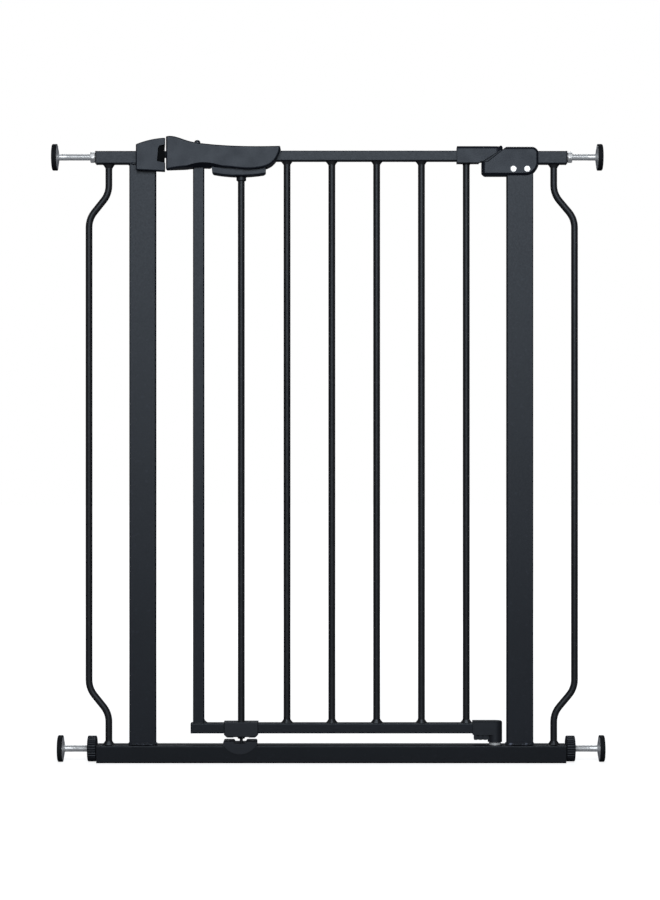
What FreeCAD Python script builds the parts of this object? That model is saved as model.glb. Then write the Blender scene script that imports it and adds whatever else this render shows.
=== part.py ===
import FreeCAD, Part
import math
import os

os.makedirs("parts", exist_ok=True)

V = FreeCAD.Vector
X = V(1, 0, 0)
Y = V(0, 1, 0)
Z = V(0, 0, 1)

# Pressure-mounted safety gate, in millimetres.
# Origin: centre of the bottom rail's underside. +X right, +Y away from the front, +Z up.

# Bottom rail
RAIL_HALF = 292.5
RAIL_DEPTH = 28.0
RAIL_TOP = 22.0
RAIL_WALL = 1.0

# Uprights and top arms
UPRIGHT_X = 235.5
UPRIGHT_W = 33.0
UPRIGHT_D = 15.0
ARM_SIZE = 16.0
ARM_BOTTOM = 747.0
ARM_TOP = ARM_BOTTOM + ARM_SIZE
ARM_AXIS_Z = ARM_BOTTOM + ARM_SIZE / 2
UPPER_AXIS_Z = ARM_AXIS_Z + 0.8
ARM_OUTER = 292.6
LEFT_ARM_INNER = 227.0
RIGHT_ARM_INNER = 217.0
TUBE_WALL = 1.2
CAP_FLANGE = 2.0

# Bent side rods
ROD_R = 4.25
SIDE_ROD_END_X = 278.0
SIDE_ROD_X = {-1: 302.8, 1: 304.0}
SIDE_ROD_TOP_BEND = (710.0, 679.0)
SIDE_ROD_LOW_BEND = (92.0, 61.0)
SIDE_ROD_BEND_R = 30.0

# Wall fixings: pressure spindles, pads, nuts and hand wheels
SPINDLE_R = 3.95
UPPER_SPINDLE_LEN = 85.0
LOWER_SPINDLE_LEN = 80.0
LOWER_AXIS_Z = 16.9
PAD_R = 16.6
PAD_T = 6.6
PLATE_R = 15.0
PLATE_T = 1.5
NUT_FLATS = 13.0
NUT_T = 6.0
NUT_BORE_R = 4.0
NUT_TILT = 15.0
WHEEL_R = 16.1
WHEEL_T = 11.0
WHEEL_GROOVES = 20
WHEEL_GROOVE_R = 1.1
WHEEL_GAP = 0.6
NUT_GAP = 0.3
# inner faces of the four pads, measured out from the middle
PAD_FACE = {"left_upper": 342.3, "right_upper": 332.4, "left_lower": 335.2, "right_lower": 334.8}

# Door
DOOR_TUBE = 13.0
DOOR_HALF = DOOR_TUBE / 2
DOOR_TOP_RAIL_Z = 750.6
DOOR_LOW_RAIL_Z = 36.3
DOOR_LOW_RAIL_TOP = DOOR_LOW_RAIL_Z + DOOR_TUBE
STILE_X = -165.7
STILE_HALF_W = 6.9
STILE_LEFT = STILE_X - STILE_HALF_W
LOCK_ROD_X = -112.5
BAR_COUNT = 5
BAR_FIRST_X = -55.3
BAR_PITCH = 56.0
BAR_R = 4.3
DOOR_LEFT = -173.8
WELD_H = 4.6
WELD_R = 7.3

# Hinges. The faces of the upper hinge slope across the gate, so the door rises as it opens.
HINGE_X = 204.5
HINGE_PIN_R = 3.0
RUNNING_GAP = 0.05
FIT_GAP = 0.1
RAMP_SLOPE = 0.78
RAMP_AXIS_Z = 757.4
RAMP_FOOT_Z = 748.6
BRACKET_LEFT = 187.8
BRACKET_RIGHT = 258.8
BRACKET_TOP = 768.2
BRACKET_BOTTOM = 732.0
BRACKET_LOW_R = 17.0
BRACKET_TOP_R = 9.0
BRACKET_HALF_D = 11.0
RIVET_X = (226.9, 244.1)
RIVET_Z = 740.1
RIVET_SHANK_R = 2.4
RIVET_HEAD_R = 4.2
RIVET_HEAD_T = 1.4
HINGE_PIN_Z = (735.5, 768.2)
SLEEVE_LEFT = 156.9
SLEEVE_Z = (748.3, 768.9)
SLEEVE_HALF_D = 10.5
SLEEVE_TAPER_X = 190.5
SLEEVE_NOSE_R = 9.9
SLEEVE_STEP_Z = 750.0
NOSE_UNDERSIDE = ((188.8, 750.0), (213.4, 765.6))
NOSE_BEAD = (211.6, 767.1)
NOSE_BEAD_R = 2.6
CORE_HALF_D = 6.5
CORE_GAP = 0.5
DOOR_RAIL_RIGHT = 184.0
LOW_BLOCK_LEFT = 176.6
LOW_BLOCK_TOP = 51.8
LOW_BLOCK_HALF_D = 9.0
LOW_BLOCK_FLOOR = 1.6
LOW_RIB_Z = 28.4
LOW_RIB_X = (178.4, 184.4, 190.4)
LOW_RIB_W = 3.4
LOW_RAIL_RIGHT = 194.0
LOW_PIN_TOP = 47.0
PIVOT_WASHER_R = 7.5
PIVOT_WASHER_TOP = 25.0

# Catch on the left upright, with the strike that the bolt enters
CATCH_LEFT = -243.1
CATCH_RIGHT = -206.4
CATCH_RAKE = 2.8
CATCH_SCREW_X = -234.5
CATCH_SCREW_Z = (ARM_AXIS_Z, 769.0)
CATCH_HOLLOW_HALF_D = 13.5
STRIKE_LEFT = -226.5
STRIKE_RIGHT = -206.8
STRIKE_Z = (748.0, 768.0)
STRIKE_EAR_HALF_D = 14.4
SOCKET_END = -219.3
SOCKET_GAP = 0.4

# Handle, bolt and trigger
HOUSING_HALF_D = 17.0
HANDLE_LEFT = -205.7
HANDLE_RIGHT = -63.2
HANDLE_INNER_LEFT = -203.8
HANDLE_WALL_Y = 14.3
BOLT_Z = 759.3
BOLT_H = 7.4
BOLT_W = 12.0
BOLT_TIP = -214.3
BOLT_TAIL = -184.5
BOLT_BEVEL = 2.5
SPRING_BORE_R = 2.9
SPRING_BORE_DEPTH = 11.5
SPRING_Y = 1.8
CAM_PIN_X = -193.0
CAM_PIN_Z = 757.0
CAM_PIN_R = 1.5
CAM_PIN_FRONT = -13.8
RELEASE_LIFT = 9.0
CAM_FACE_Y = -11.4
CAM_PLATE_T = 1.8
CAM_ARM_BOTTOM = 751.9
CAM_ARM_TOP = 757.5
TOWER_RIGHT = -140.0
TRIGGER_LEFT = -149.6
TRIGGER_RIGHT = -82.0
TRIGGER_HALF_D = 10.5
TRIGGER_TOP = 745.0
TRIGGER_WALL = 2.2
BUTTON_X = -167.5
BUTTON_R = 3.9
BUTTON_TOP = 777.4
BUTTON_FLANGE_Z = 767.2
BUTTON_WELL_TOP = 770.9
SCREW_R = 1.5
SCREW_HEAD_R = 2.8
SCREW_SINK = 2.2
BOSS_R = 3.3
SCREWS = ((-200.2, 747.2), (-133.0, 758.0), (-74.0, 757.5))

# Bottom latch: rod, guide on the door, receiver on the rail
LOCK_ROD_TOP = 737.0
LOCK_ROD_SHOULDER = 38.5
LATCH_PIN_R = 2.0
LATCH_PIN_TIP = 22.9
COLLAR_R = 6.1
COLLAR_Z = (726.1, 731.0)
GUIDE_HALF = 21.3
GUIDE_Z = (32.0, 50.9)
GUIDE_HALF_D = 9.5
GUIDE_BUSH_BOTTOM = 29.4
GUIDE_BUSH_R = (4.3, 5.2)
RECEIVER_X = LOCK_ROD_X - 1.2
RECEIVER_HALF = 21.0
RECEIVER_TOP = 27.2
RECEIVER_FLOOR = 24.8
RECEIVER_FLAP = 1.6
RECEIVER_DISC_R = 23.6
RECEIVER_DISC_LOW = 11.4
CHANNEL_HALF = 6.6
CHANNEL_FLARE = 2.2
RECEIVER_RIVET_X = 15.5


# ---------------------------------------------------------------- helpers

def box(x0, x1, y0, y1, z0, z1):
    return Part.makeBox(x1 - x0, y1 - y0, z1 - z0, V(x0, y0, z0))


def cyl(r, start, direction, length):
    return Part.makeCylinder(r, length, V(*start), direction)


def prism_y(points, y0, y1):
    """Polygon of (x, z) points, extruded from y0 to y1."""
    loop = [V(x, y0, z) for x, z in points]
    face = Part.Face(Part.makePolygon(loop + [loop[0]]))
    return face.extrude(V(0, y1 - y0, 0))


def union(shapes):
    whole = shapes[0]
    for shape in shapes[1:]:
        whole = whole.fuse(shape)
    return whole.removeSplitter()


def group(shapes):
    return Part.makeCompound(shapes)


def mirror_x(shape):
    return shape.mirror(V(0, 0, 0), X)


def mirror_y(shape):
    return shape.mirror(V(0, 0, 0), Y)


def edges_in(shape, x=None, y=None, z=None, tol=0.05):
    """Edges that lie wholly within the given (low, high) ranges."""
    picked = []
    for edge in shape.Edges:
        b = edge.BoundBox
        spans = ((x, b.XMin, b.XMax), (y, b.YMin, b.YMax), (z, b.ZMin, b.ZMax))
        if all(want is None or (want[0] - tol <= low and high <= want[1] + tol)
               for want, low, high in spans):
            picked.append(edge)
    return picked


def rounded_block(body, half_d, corner, rim):
    """Round a block's cross edges first, then its front and back rims."""
    across = [e for e in body.Edges if e.BoundBox.YLength > half_d and e.BoundBox.XLength < 1]
    body = body.makeFillet(corner, across)
    rims = edges_in(body, y=(-half_d, -half_d)) + edges_in(body, y=(half_d, half_d))
    return body.makeFillet(rim, rims)


def sloped_underside(x0, x1, front_z, back_z0, back_z1):
    """Cutter below a plane: front_z at the front left corner, back_z0 to back_z1 along the back."""
    h = HOUSING_HALF_D
    slope = (back_z1 - back_z0) / (x1 - x0)
    rise = (back_z0 - front_z) / (2 * h)
    corners = []
    for x, y in ((x0 - 2, -h - 1), (x1, -h - 1), (x1, h + 1), (x0 - 2, h + 1)):
        corners.append(V(x, y, front_z + slope * (x - x0) + rise * (y + h)))
    return Part.Face(Part.makePolygon(corners + corners[:1])).extrude(V(0, 0, -20))


def square_tube_x(x0, x1, half_d, z0, z1, wall, corner=1.5):
    """Rectangular tube along X, open at both ends, with rounded long corners."""
    outer = box(x0, x1, -half_d, half_d, z0, z1)
    outer = outer.makeFillet(corner, [e for e in outer.Edges if e.BoundBox.XLength > 1])
    inner = box(x0 - 1, x1 + 1, wall - half_d, half_d - wall, z0 + wall, z1 - wall)
    return outer.cut(inner)


def square_tube_z(x, half_w, half_d, z0, z1, wall, corner=1.5):
    outer = box(x - half_w, x + half_w, -half_d, half_d, z0, z1)
    outer = outer.makeFillet(corner, [e for e in outer.Edges if e.BoundBox.ZLength > 1])
    inner = box(x - half_w + wall, x + half_w - wall, wall - half_d, half_d - wall, z0 - 1, z1 + 1)
    return outer.cut(inner)


def spring(r, wire, turns, length, start, axis):
    """Open coil of round wire whose bearing ends lie on the start and end planes."""
    pitch = (length - 2 * wire) / turns
    helix = Part.makeHelix(pitch, length - 2 * wire, r)
    circle = Part.Wire(Part.makeCircle(wire, V(r, 0, 0), Y))
    coil = Part.Wire(helix).makePipeShell([circle], True, True)
    coil.translate(V(0, 0, wire))
    if axis == "x":
        coil.rotate(V(0, 0, 0), Y, 90)
    coil.translate(V(*start))
    return coil


def weld_cone(x, z, up, half_d, rod_r):
    """Fillet of weld metal round a rod end that stands on a tube face at height z."""
    cone = Part.makeCone(WELD_R, rod_r + 0.1, WELD_H, V(x, 0, z), Z if up else Z * -1)
    low = z if up else z - WELD_H
    hole = cyl(rod_r, (x, 0, low - 1), Z, WELD_H + 2)
    return cone.common(box(x - 20, x + 20, -half_d, half_d, low, low + WELD_H)).cut(hole)


# ---------------------------------------------------------------- fixed frame

def bottom_rail():
    rail = square_tube_x(-RAIL_HALF, RAIL_HALF, RAIL_DEPTH / 2, 0, RAIL_TOP, RAIL_WALL, 1.6)
    pivot_hole = cyl(HINGE_PIN_R, (HINGE_X, 0, RAIL_TOP - 5), Z, 10)
    return rail.cut(pivot_hole)


def upright(side):
    tube = square_tube_z(side * UPRIGHT_X, UPRIGHT_W / 2, UPRIGHT_D / 2, RAIL_TOP, ARM_BOTTOM, TUBE_WALL)
    if side > 0:
        for x in RIVET_X:
            tube = tube.cut(cyl(RIVET_SHANK_R, (x, -20, RIVET_Z), Y, 40))
    return tube


def top_arm(side, inner):
    ends = sorted((side * inner, side * ARM_OUTER))
    tube = square_tube_x(ends[0], ends[1], ARM_SIZE / 2, ARM_BOTTOM, ARM_TOP, TUBE_WALL)
    if side < 0:
        tube = tube.cut(cyl(SCREW_R, (CATCH_SCREW_X, 5, ARM_AXIS_Z), Y, 10))
    return tube


def side_rod(side):
    """Rod with an outward jog near each end, as straight runs joined by arcs."""
    high, low = SIDE_ROD_TOP_BEND, SIDE_ROD_LOW_BEND
    out = SIDE_ROD_X[side]
    xz = [(SIDE_ROD_END_X, ARM_BOTTOM), (SIDE_ROD_END_X, high[0]), (out, high[1]),
          (out, low[0]), (SIDE_ROD_END_X, low[1]), (SIDE_ROD_END_X, RAIL_TOP)]
    points = [V(side * x, 0, z) for x, z in xz]
    edges = []
    here = points[0]
    for before, corner, after in zip(points, points[1:], points[2:]):
        inward = (before - corner).normalize()
        onward = (after - corner).normalize()
        half_turn = (math.pi - inward.getAngle(onward)) / 2
        reach = SIDE_ROD_BEND_R * math.tan(half_turn)
        start = corner + inward * reach
        end = corner + onward * reach
        bisector = (inward + onward).normalize()
        middle = corner + bisector * (SIDE_ROD_BEND_R / math.cos(half_turn) - SIDE_ROD_BEND_R)
        edges.append(Part.LineSegment(here, start).toShape())
        edges.append(Part.Arc(start, middle, end).toShape())
        here = end
    edges.append(Part.LineSegment(here, points[-1]).toShape())
    section = Part.Wire(Part.makeCircle(ROD_R, points[0], Z))
    return Part.Wire(edges).makePipeShell([section], True, True)


def foot_bead(x):
    """Weld bead that runs round an upright's foot."""
    def ring(grow, z):
        half_w = UPRIGHT_W / 2 + grow
        half_d = UPRIGHT_D / 2 + grow
        corners = [V(x - half_w, -half_d, z), V(x + half_w, -half_d, z), V(x + half_w, half_d, z),
                   V(x - half_w, half_d, z)]
        return Part.makePolygon(corners + [corners[0]])
    bead = Part.makeLoft([ring(2.6, RAIL_TOP), ring(0.2, RAIL_TOP + 3.0)], True, True)
    half_w = UPRIGHT_W / 2
    half_d = UPRIGHT_D / 2
    return bead.cut(box(x - half_w, x + half_w, -half_d, half_d, RAIL_TOP - 1, RAIL_TOP + 5))


def frame_welds():
    beads = []
    for side in (-1, 1):
        beads.append(weld_cone(side * SIDE_ROD_END_X, ARM_BOTTOM, False, ARM_SIZE / 2, ROD_R))
        beads.append(weld_cone(side * SIDE_ROD_END_X, RAIL_TOP, True, RAIL_DEPTH / 2, ROD_R))
        beads.append(foot_bead(side * UPRIGHT_X))
    outer = -UPRIGHT_X - UPRIGHT_W / 2
    corner = prism_y([(outer, ARM_BOTTOM), (outer - 4, ARM_BOTTOM), (outer, ARM_BOTTOM - 4)], -6.5, 6.5)
    return group(beads + [corner])


def arm_end_cap(side):
    inner_half = ARM_SIZE / 2 - TUBE_WALL - 0.05
    flange = box(ARM_OUTER, ARM_OUTER + CAP_FLANGE, -ARM_SIZE / 2, ARM_SIZE / 2, ARM_BOTTOM, ARM_TOP)
    flange = flange.makeFillet(1.2, edges_in(flange, x=(ARM_OUTER + CAP_FLANGE,) * 2))
    plug = box(ARM_OUTER - 12, ARM_OUTER, -inner_half, inner_half,
               ARM_AXIS_Z - inner_half, ARM_AXIS_Z + inner_half)
    bore = cyl(SPINDLE_R + 0.35, (ARM_OUTER - 20, 0, UPPER_AXIS_Z), X, 40)
    cap = union([flange, plug]).cut(bore)
    return cap if side > 0 else mirror_x(cap)


def rail_end_guide(side):
    """Plug in the rail's end that guides the lower spindle; its bore is open at the top."""
    half_d = RAIL_DEPTH / 2 - RAIL_WALL - 0.05
    plug = box(RAIL_HALF - 14, RAIL_HALF, -half_d, half_d, RAIL_WALL + 0.05, RAIL_TOP - RAIL_WALL - 0.05)
    bore = cyl(SPINDLE_R + 0.35, (RAIL_HALF - 20, 0, LOWER_AXIS_Z), X, 40)
    slot = box(RAIL_HALF - 20, RAIL_HALF + 1, -2.5, 2.5, LOWER_AXIS_Z, RAIL_TOP)
    guide = plug.cut(bore).cut(slot)
    return guide if side > 0 else mirror_x(guide)


# ---------------------------------------------------------------- wall fixings

def spindle(face, z, length):
    """Threaded spindle welded to its pressure plate, on the right-hand side."""
    rod = cyl(SPINDLE_R, (face - length, 0, z), X, length)
    rod = rod.makeChamfer(0.8, edges_in(rod, x=(face - length,) * 2))
    plate = cyl(PLATE_R, (face, 0, z), X, PLATE_T)
    boss = Part.makeCone(SPINDLE_R + 0.1, SPINDLE_R + 1.6, 1.6, V(face - 1.6, 0, z), X)
    return union([rod, plate, boss])


def pad(face, z):
    """Rubber cup round the pressure plate, on the right-hand side."""
    cup = cyl(PAD_R, (face, 0, z), X, PAD_T)
    cup = cup.makeFillet(1.3, cup.Edges[0:1] + cup.Edges[2:3])
    return cup.cut(cyl(PLATE_R, (face - 1, 0, z), X, PLATE_T + 1))


def hex_nut():
    """Hexagon nut on the right-hand arm, with chamfered corners."""
    start = ARM_OUTER + CAP_FLANGE + NUT_GAP
    corner_r = NUT_FLATS / math.sqrt(3)
    corners = []
    for i in range(6):
        a = math.radians(60 * i + NUT_TILT)
        corners.append(V(start, corner_r * math.cos(a), UPPER_AXIS_Z + corner_r * math.sin(a)))
    nut = Part.Face(Part.makePolygon(corners + [corners[0]])).extrude(V(NUT_T, 0, 0))
    flare = NUT_FLATS / 2 + 0.2
    dome = Part.makeCone(flare + 2 * NUT_T, flare, NUT_T, V(start, 0, UPPER_AXIS_Z), X)
    back = Part.makeCone(flare, flare + 2 * NUT_T, NUT_T, V(start, 0, UPPER_AXIS_Z), X)
    nut = nut.common(dome).common(back)
    return nut.cut(cyl(NUT_BORE_R, (start - 1, 0, UPPER_AXIS_Z), X, NUT_T + 2))


def hand_wheel():
    """Ribbed plastic wheel with a threaded bore, at the right-hand end of the rail."""
    start = RAIL_HALF + WHEEL_GAP
    wheel = cyl(WHEEL_R, (start, 0, LOWER_AXIS_Z), X, WHEEL_T)
    wheel = wheel.makeChamfer(1.3, wheel.Edges[0:1] + wheel.Edges[2:3])
    for i in range(WHEEL_GROOVES):
        a = 2 * math.pi * i / WHEEL_GROOVES
        y = (WHEEL_R + 0.35) * math.cos(a)
        z = LOWER_AXIS_Z + (WHEEL_R + 0.35) * math.sin(a)
        wheel = wheel.cut(cyl(WHEEL_GROOVE_R, (start - 1, y, z), X, WHEEL_T + 2))
    recess = cyl(10.5, (start + WHEEL_T - 1.2, 0, LOWER_AXIS_Z), X, 5)
    hub = cyl(7.0, (start, 0, LOWER_AXIS_Z), X, WHEEL_T)
    bore = cyl(NUT_BORE_R, (start - 1, 0, LOWER_AXIS_Z), X, WHEEL_T + 2)
    return wheel.cut(recess).fuse(hub).cut(bore).removeSplitter()


# ---------------------------------------------------------------- hinges

def ramp_z(x):
    """Height of the fixed hinge slope at x."""
    return RAMP_AXIS_Z + RAMP_SLOPE * (x - HINGE_X)


def ramp_x(z):
    return HINGE_X + (z - RAMP_AXIS_Z) / RAMP_SLOPE


def hinge_bracket():
    """Fixed half of the upper hinge: clamps the upright and the arm, and carries the slope."""
    d = BRACKET_HALF_D
    low, top, left, right = BRACKET_BOTTOM, BRACKET_TOP, BRACKET_LEFT, BRACKET_RIGHT
    body = prism_y([(right, low), (right, top), (ramp_x(top), top), (ramp_x(RAMP_FOOT_Z), RAMP_FOOT_Z),
                    (left, RAMP_FOOT_Z), (left, low)], -d, d)
    body = body.makeFillet(BRACKET_LOW_R, edges_in(body, x=(right, right), z=(low, low)))
    body = body.makeFillet(BRACKET_TOP_R, edges_in(body, x=(right, right), z=(top, top)))
    corners = [e for e in edges_in(body, x=(left, left)) if e.BoundBox.ZLength > 1]
    body = body.makeFillet(5.0, corners)
    body = body.makeChamfer(3.4, [e for e in edges_in(body, z=(top, top)) if e.BoundBox.XLength > 5])
    slope = [e for e in body.Edges if e.BoundBox.XLength > 15 and 10 < e.BoundBox.ZLength < 30]
    body = body.makeChamfer(0.9, [e for e in slope if e.BoundBox.YLength < 0.1])
    post = box(UPRIGHT_X - UPRIGHT_W / 2 - FIT_GAP, UPRIGHT_X + UPRIGHT_W / 2 + FIT_GAP,
               -UPRIGHT_D / 2 - FIT_GAP, UPRIGHT_D / 2 + FIT_GAP, low - 1, ARM_BOTTOM)
    arm = box(RIGHT_ARM_INNER - 0.3, right + 1, -ARM_SIZE / 2 - FIT_GAP, ARM_SIZE / 2 + FIT_GAP,
              ARM_BOTTOM, ARM_TOP + FIT_GAP)
    body = body.cut(post).cut(arm)
    for x in RIVET_X:
        body = body.cut(cyl(RIVET_SHANK_R, (x, -20, RIVET_Z), Y, 40))
    return body.cut(cyl(HINGE_PIN_R + RUNNING_GAP, (HINGE_X, 0, HINGE_PIN_Z[0]), Z, 40))


def hinge_rivets():
    rivets = []
    d = BRACKET_HALF_D
    face = -d - RIVET_HEAD_T
    for x in RIVET_X:
        shank = cyl(RIVET_SHANK_R, (x, -d, RIVET_Z), Y, 2 * d)
        head = cyl(RIVET_HEAD_R, (x, face, RIVET_Z), Y, RIVET_HEAD_T)
        head = head.makeFillet(0.9, edges_in(head, y=(face, face)))
        rivets.append(union([shank, head, mirror_y(head)]))
    return group(rivets)


def upper_hinge_pin():
    """Pin that rises with the door; the door turns on it."""
    low, top = HINGE_PIN_Z
    pin = cyl(HINGE_PIN_R, (HINGE_X, 0, low), Z, top - low)
    return pin.makeChamfer(0.5, edges_in(pin, z=(top, top)) + edges_in(pin, z=(low, low)))


def sleeve_plan(low, top):
    """The sleeve's plan: straight on the rail, tapered, then round about the hinge line."""
    d = SLEEVE_HALF_D
    straight = box(SLEEVE_LEFT, SLEEVE_TAPER_X, -d, d, low, top)
    loop = [V(SLEEVE_TAPER_X, -d, low), V(HINGE_X, -SLEEVE_NOSE_R, low),
            V(HINGE_X, SLEEVE_NOSE_R, low), V(SLEEVE_TAPER_X, d, low)]
    taper = Part.Face(Part.makePolygon(loop + [loop[0]])).extrude(V(0, 0, top - low))
    return union([straight, taper, cyl(SLEEVE_NOSE_R, (HINGE_X, 0, low), Z, top - low)])


def upper_hinge_arm():
    """Moving half of the upper hinge: a sleeve on the door's rail, with a sloped core under it."""
    low, top = SLEEVE_Z
    d = SLEEVE_HALF_D
    body = sleeve_plan(low, top)
    body = body.makeChamfer(3.2, [e for e in edges_in(body, z=(top, top)) if e.BoundBox.XLength > 5])
    tip = HINGE_X + SLEEVE_NOSE_R + 1
    foot, nose = NOSE_UNDERSIDE
    skin = prism_y([(SLEEVE_LEFT, low), (DOOR_RAIL_RIGHT + 0.5, low),
                    (DOOR_RAIL_RIGHT + 2.0, SLEEVE_STEP_Z), foot, nose, (tip, nose[1]),
                    (tip, top), (SLEEVE_LEFT, top)], -d, d)
    core_foot = ramp_x(SLEEVE_STEP_Z - CORE_GAP)
    core = prism_y([(DOOR_RAIL_RIGHT + 2.0, SLEEVE_STEP_Z), (core_foot, SLEEVE_STEP_Z),
                    (tip, ramp_z(tip) + CORE_GAP), (tip, top), (DOOR_RAIL_RIGHT + 2.0, top)],
                   -CORE_HALF_D, CORE_HALF_D)
    bead = cyl(NOSE_BEAD_R, (NOSE_BEAD[0], -d, NOSE_BEAD[1]), Y, 2 * d)
    bead = bead.common(cyl(SLEEVE_NOSE_R, (HINGE_X, 0, low), Z, top + 5 - low))
    body = union([body.common(skin.fuse(core)), bead])
    rail = box(SLEEVE_LEFT - 1, DOOR_RAIL_RIGHT + 0.2, -DOOR_HALF - RUNNING_GAP,
               DOOR_HALF + RUNNING_GAP, DOOR_TOP_RAIL_Z - RUNNING_GAP,
               DOOR_TOP_RAIL_Z + DOOR_TUBE + RUNNING_GAP)
    bore = cyl(HINGE_PIN_R + RUNNING_GAP, (HINGE_X, 0, low - 1), Z, 40)
    bar = cyl(BAR_R + 0.3, (bar_x(BAR_COUNT - 1), 0, low - 1), Z, 5)
    return body.cut(rail).cut(bore).cut(bar)


def lower_hinge_block():
    """Plastic block on the door's lower rail that turns on the lower pivot pin."""
    low = DOOR_LOW_RAIL_Z - LOW_BLOCK_FLOOR
    half = LOW_BLOCK_HALF_D
    body = box(LOW_BLOCK_LEFT, HINGE_X, -half, half, low, LOW_BLOCK_TOP)
    barrel_low = PIVOT_WASHER_TOP + 0.5
    barrel = cyl(half, (HINGE_X, 0, barrel_low), Z, LOW_BLOCK_TOP - barrel_low)
    body = union([body, barrel])
    top_edges = edges_in(body, z=(LOW_BLOCK_TOP, LOW_BLOCK_TOP))
    body = body.makeChamfer(1.2, [e for e in top_edges if e.BoundBox.XLength > 5])
    ribs = [box(LOW_RIB_X[0], HINGE_X - 7.5, -5.0, 5.0, LOW_RIB_Z, low)]
    for x in LOW_RIB_X:
        ribs.append(box(x, x + LOW_RIB_W, -7.6, 7.6, LOW_RIB_Z, low))
    body = union([body] + ribs)
    rail = box(LOW_BLOCK_LEFT - 1, LOW_RAIL_RIGHT + 0.2, -DOOR_HALF - RUNNING_GAP,
               DOOR_HALF + RUNNING_GAP, DOOR_LOW_RAIL_Z - RUNNING_GAP,
               DOOR_LOW_RAIL_TOP + RUNNING_GAP)
    bore = cyl(HINGE_PIN_R + RUNNING_GAP, (HINGE_X, 0, 20), Z, LOW_PIN_TOP + 2 - 20)
    return body.cut(rail).cut(bore)


def lower_pivot_pin():
    """Long enough to stay in the block when the door has risen."""
    low = RAIL_TOP - RAIL_WALL
    pin = cyl(HINGE_PIN_R, (HINGE_X, 0, low), Z, LOW_PIN_TOP - low)
    washer = cyl(PIVOT_WASHER_R, (HINGE_X, 0, RAIL_TOP), Z, PIVOT_WASHER_TOP - RAIL_TOP)
    return union([pin, washer])


# ---------------------------------------------------------------- catch and receiver

def catch_rake(front_x):
    """Cutter that slants a right-hand face back, so light shows between catch and handle."""
    y = HOUSING_HALF_D + 1
    loop = [V(front_x, -y, 720), V(front_x - CATCH_RAKE, y, 720), V(HANDLE_LEFT, y, 720),
            V(HANDLE_LEFT, -y, 720)]
    return Part.Face(Part.makePolygon(loop + [loop[0]])).extrude(V(0, 0, 80))


def catch_housing():
    """Shell on top of the left upright that holds the strike."""
    h = HOUSING_HALF_D
    top_left = V(CATCH_LEFT, -h, 770.3)
    top_right = V(CATCH_RIGHT, -h, 778.4)
    low_left = V(CATCH_LEFT, -h, 738.0)
    low_right = V(CATCH_RIGHT, -h, 736.2)
    brow = Part.BSplineCurve()
    brow.interpolate([top_left, V(-232.0, -h, 774.2), V(-220.0, -h, 777.0), top_right])
    sides = Part.makePolygon([top_right, low_right, low_left, top_left])
    body = Part.Face(Part.Wire([brow.toShape()] + sides.Edges)).extrude(V(0, 2 * h, 0))
    body = body.cut(sloped_underside(CATCH_LEFT, CATCH_RIGHT + 1, 738.0, 740.9, 739.1))
    body = rounded_block(body, h, 1.5, 1.7)
    low, top = STRIKE_Z
    window = prism_y([(-216.8, low + 1.2), (-205, low - 1.4), (-205, top + 2.4), (-213.9, top + 0.6),
                      (-215.4, top - 2.6)], -h - 1, h + 1)
    hollow_d = CATCH_HOLLOW_HALF_D
    hollow = box(STRIKE_LEFT, -205, -hollow_d, hollow_d, low, top)
    post = box(-UPRIGHT_X - UPRIGHT_W / 2 - FIT_GAP, -UPRIGHT_X + UPRIGHT_W / 2 + FIT_GAP,
               -UPRIGHT_D / 2 - FIT_GAP, UPRIGHT_D / 2 + FIT_GAP, 730, ARM_BOTTOM)
    arm = box(CATCH_LEFT - 1, -LEFT_ARM_INNER + 0.3, -ARM_SIZE / 2 - FIT_GAP, ARM_SIZE / 2 + FIT_GAP,
              ARM_BOTTOM, ARM_TOP + FIT_GAP)
    body = body.cut(window).cut(hollow).cut(post).cut(arm).cut(catch_rake(CATCH_RIGHT))
    for z in CATCH_SCREW_Z:
        body = body.cut(cyl(SCREW_R, (CATCH_SCREW_X, 5, z), Y, 13))
        body = body.cut(cyl(SCREW_HEAD_R + 0.2, (CATCH_SCREW_X, h - SCREW_SINK, z), Y, 5))
    return body


def catch_screws():
    return group([screw((CATCH_SCREW_X, HOUSING_HALF_D - 0.6, z), 10.5) for z in CATCH_SCREW_Z])


def screw(head, length):
    """Pan-head cross-recess screw whose head faces the back."""
    x, y, z = head
    top = cyl(SCREW_HEAD_R, (x, y - 1.6, z), Y, 1.6)
    top = top.makeFillet(0.7, edges_in(top, y=(y, y)))
    shank = cyl(SCREW_R - 0.02, (x, y - length, z), Y, length - 1.0)
    slots = box(x - 1.5, x + 1.5, y - 0.8, y + 1, z - 0.3, z + 0.3)
    slots = slots.fuse(box(x - 0.3, x + 0.3, y - 0.8, y + 1, z - 1.5, z + 1.5))
    return union([top, shank]).cut(slots)


def strike_insert():
    """Black insert with the socket that the bolt enters."""
    low, top = STRIKE_Z
    block_d = CATCH_HOLLOW_HALF_D - 0.1
    ear_d = STRIKE_EAR_HALF_D
    block = box(STRIKE_LEFT + 0.1, STRIKE_RIGHT, -block_d, block_d, low + 0.1, top - 0.1)
    ears = prism_y([(-216.0, low + 1.8), (STRIKE_RIGHT, low - 0.1), (STRIKE_RIGHT, top + 1.2),
                    (-213.6, top - 0.1), (-214.8, top - 2.9)], -ear_d, ear_d)
    half_w = BOLT_W / 2 + SOCKET_GAP
    half_h = BOLT_H / 2 + SOCKET_GAP
    socket = box(SOCKET_END, -207, -half_w, half_w, BOLT_Z - half_h, BOLT_Z + half_h)
    return union([block, ears]).cut(socket).cut(catch_rake(STRIKE_RIGHT))


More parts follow.
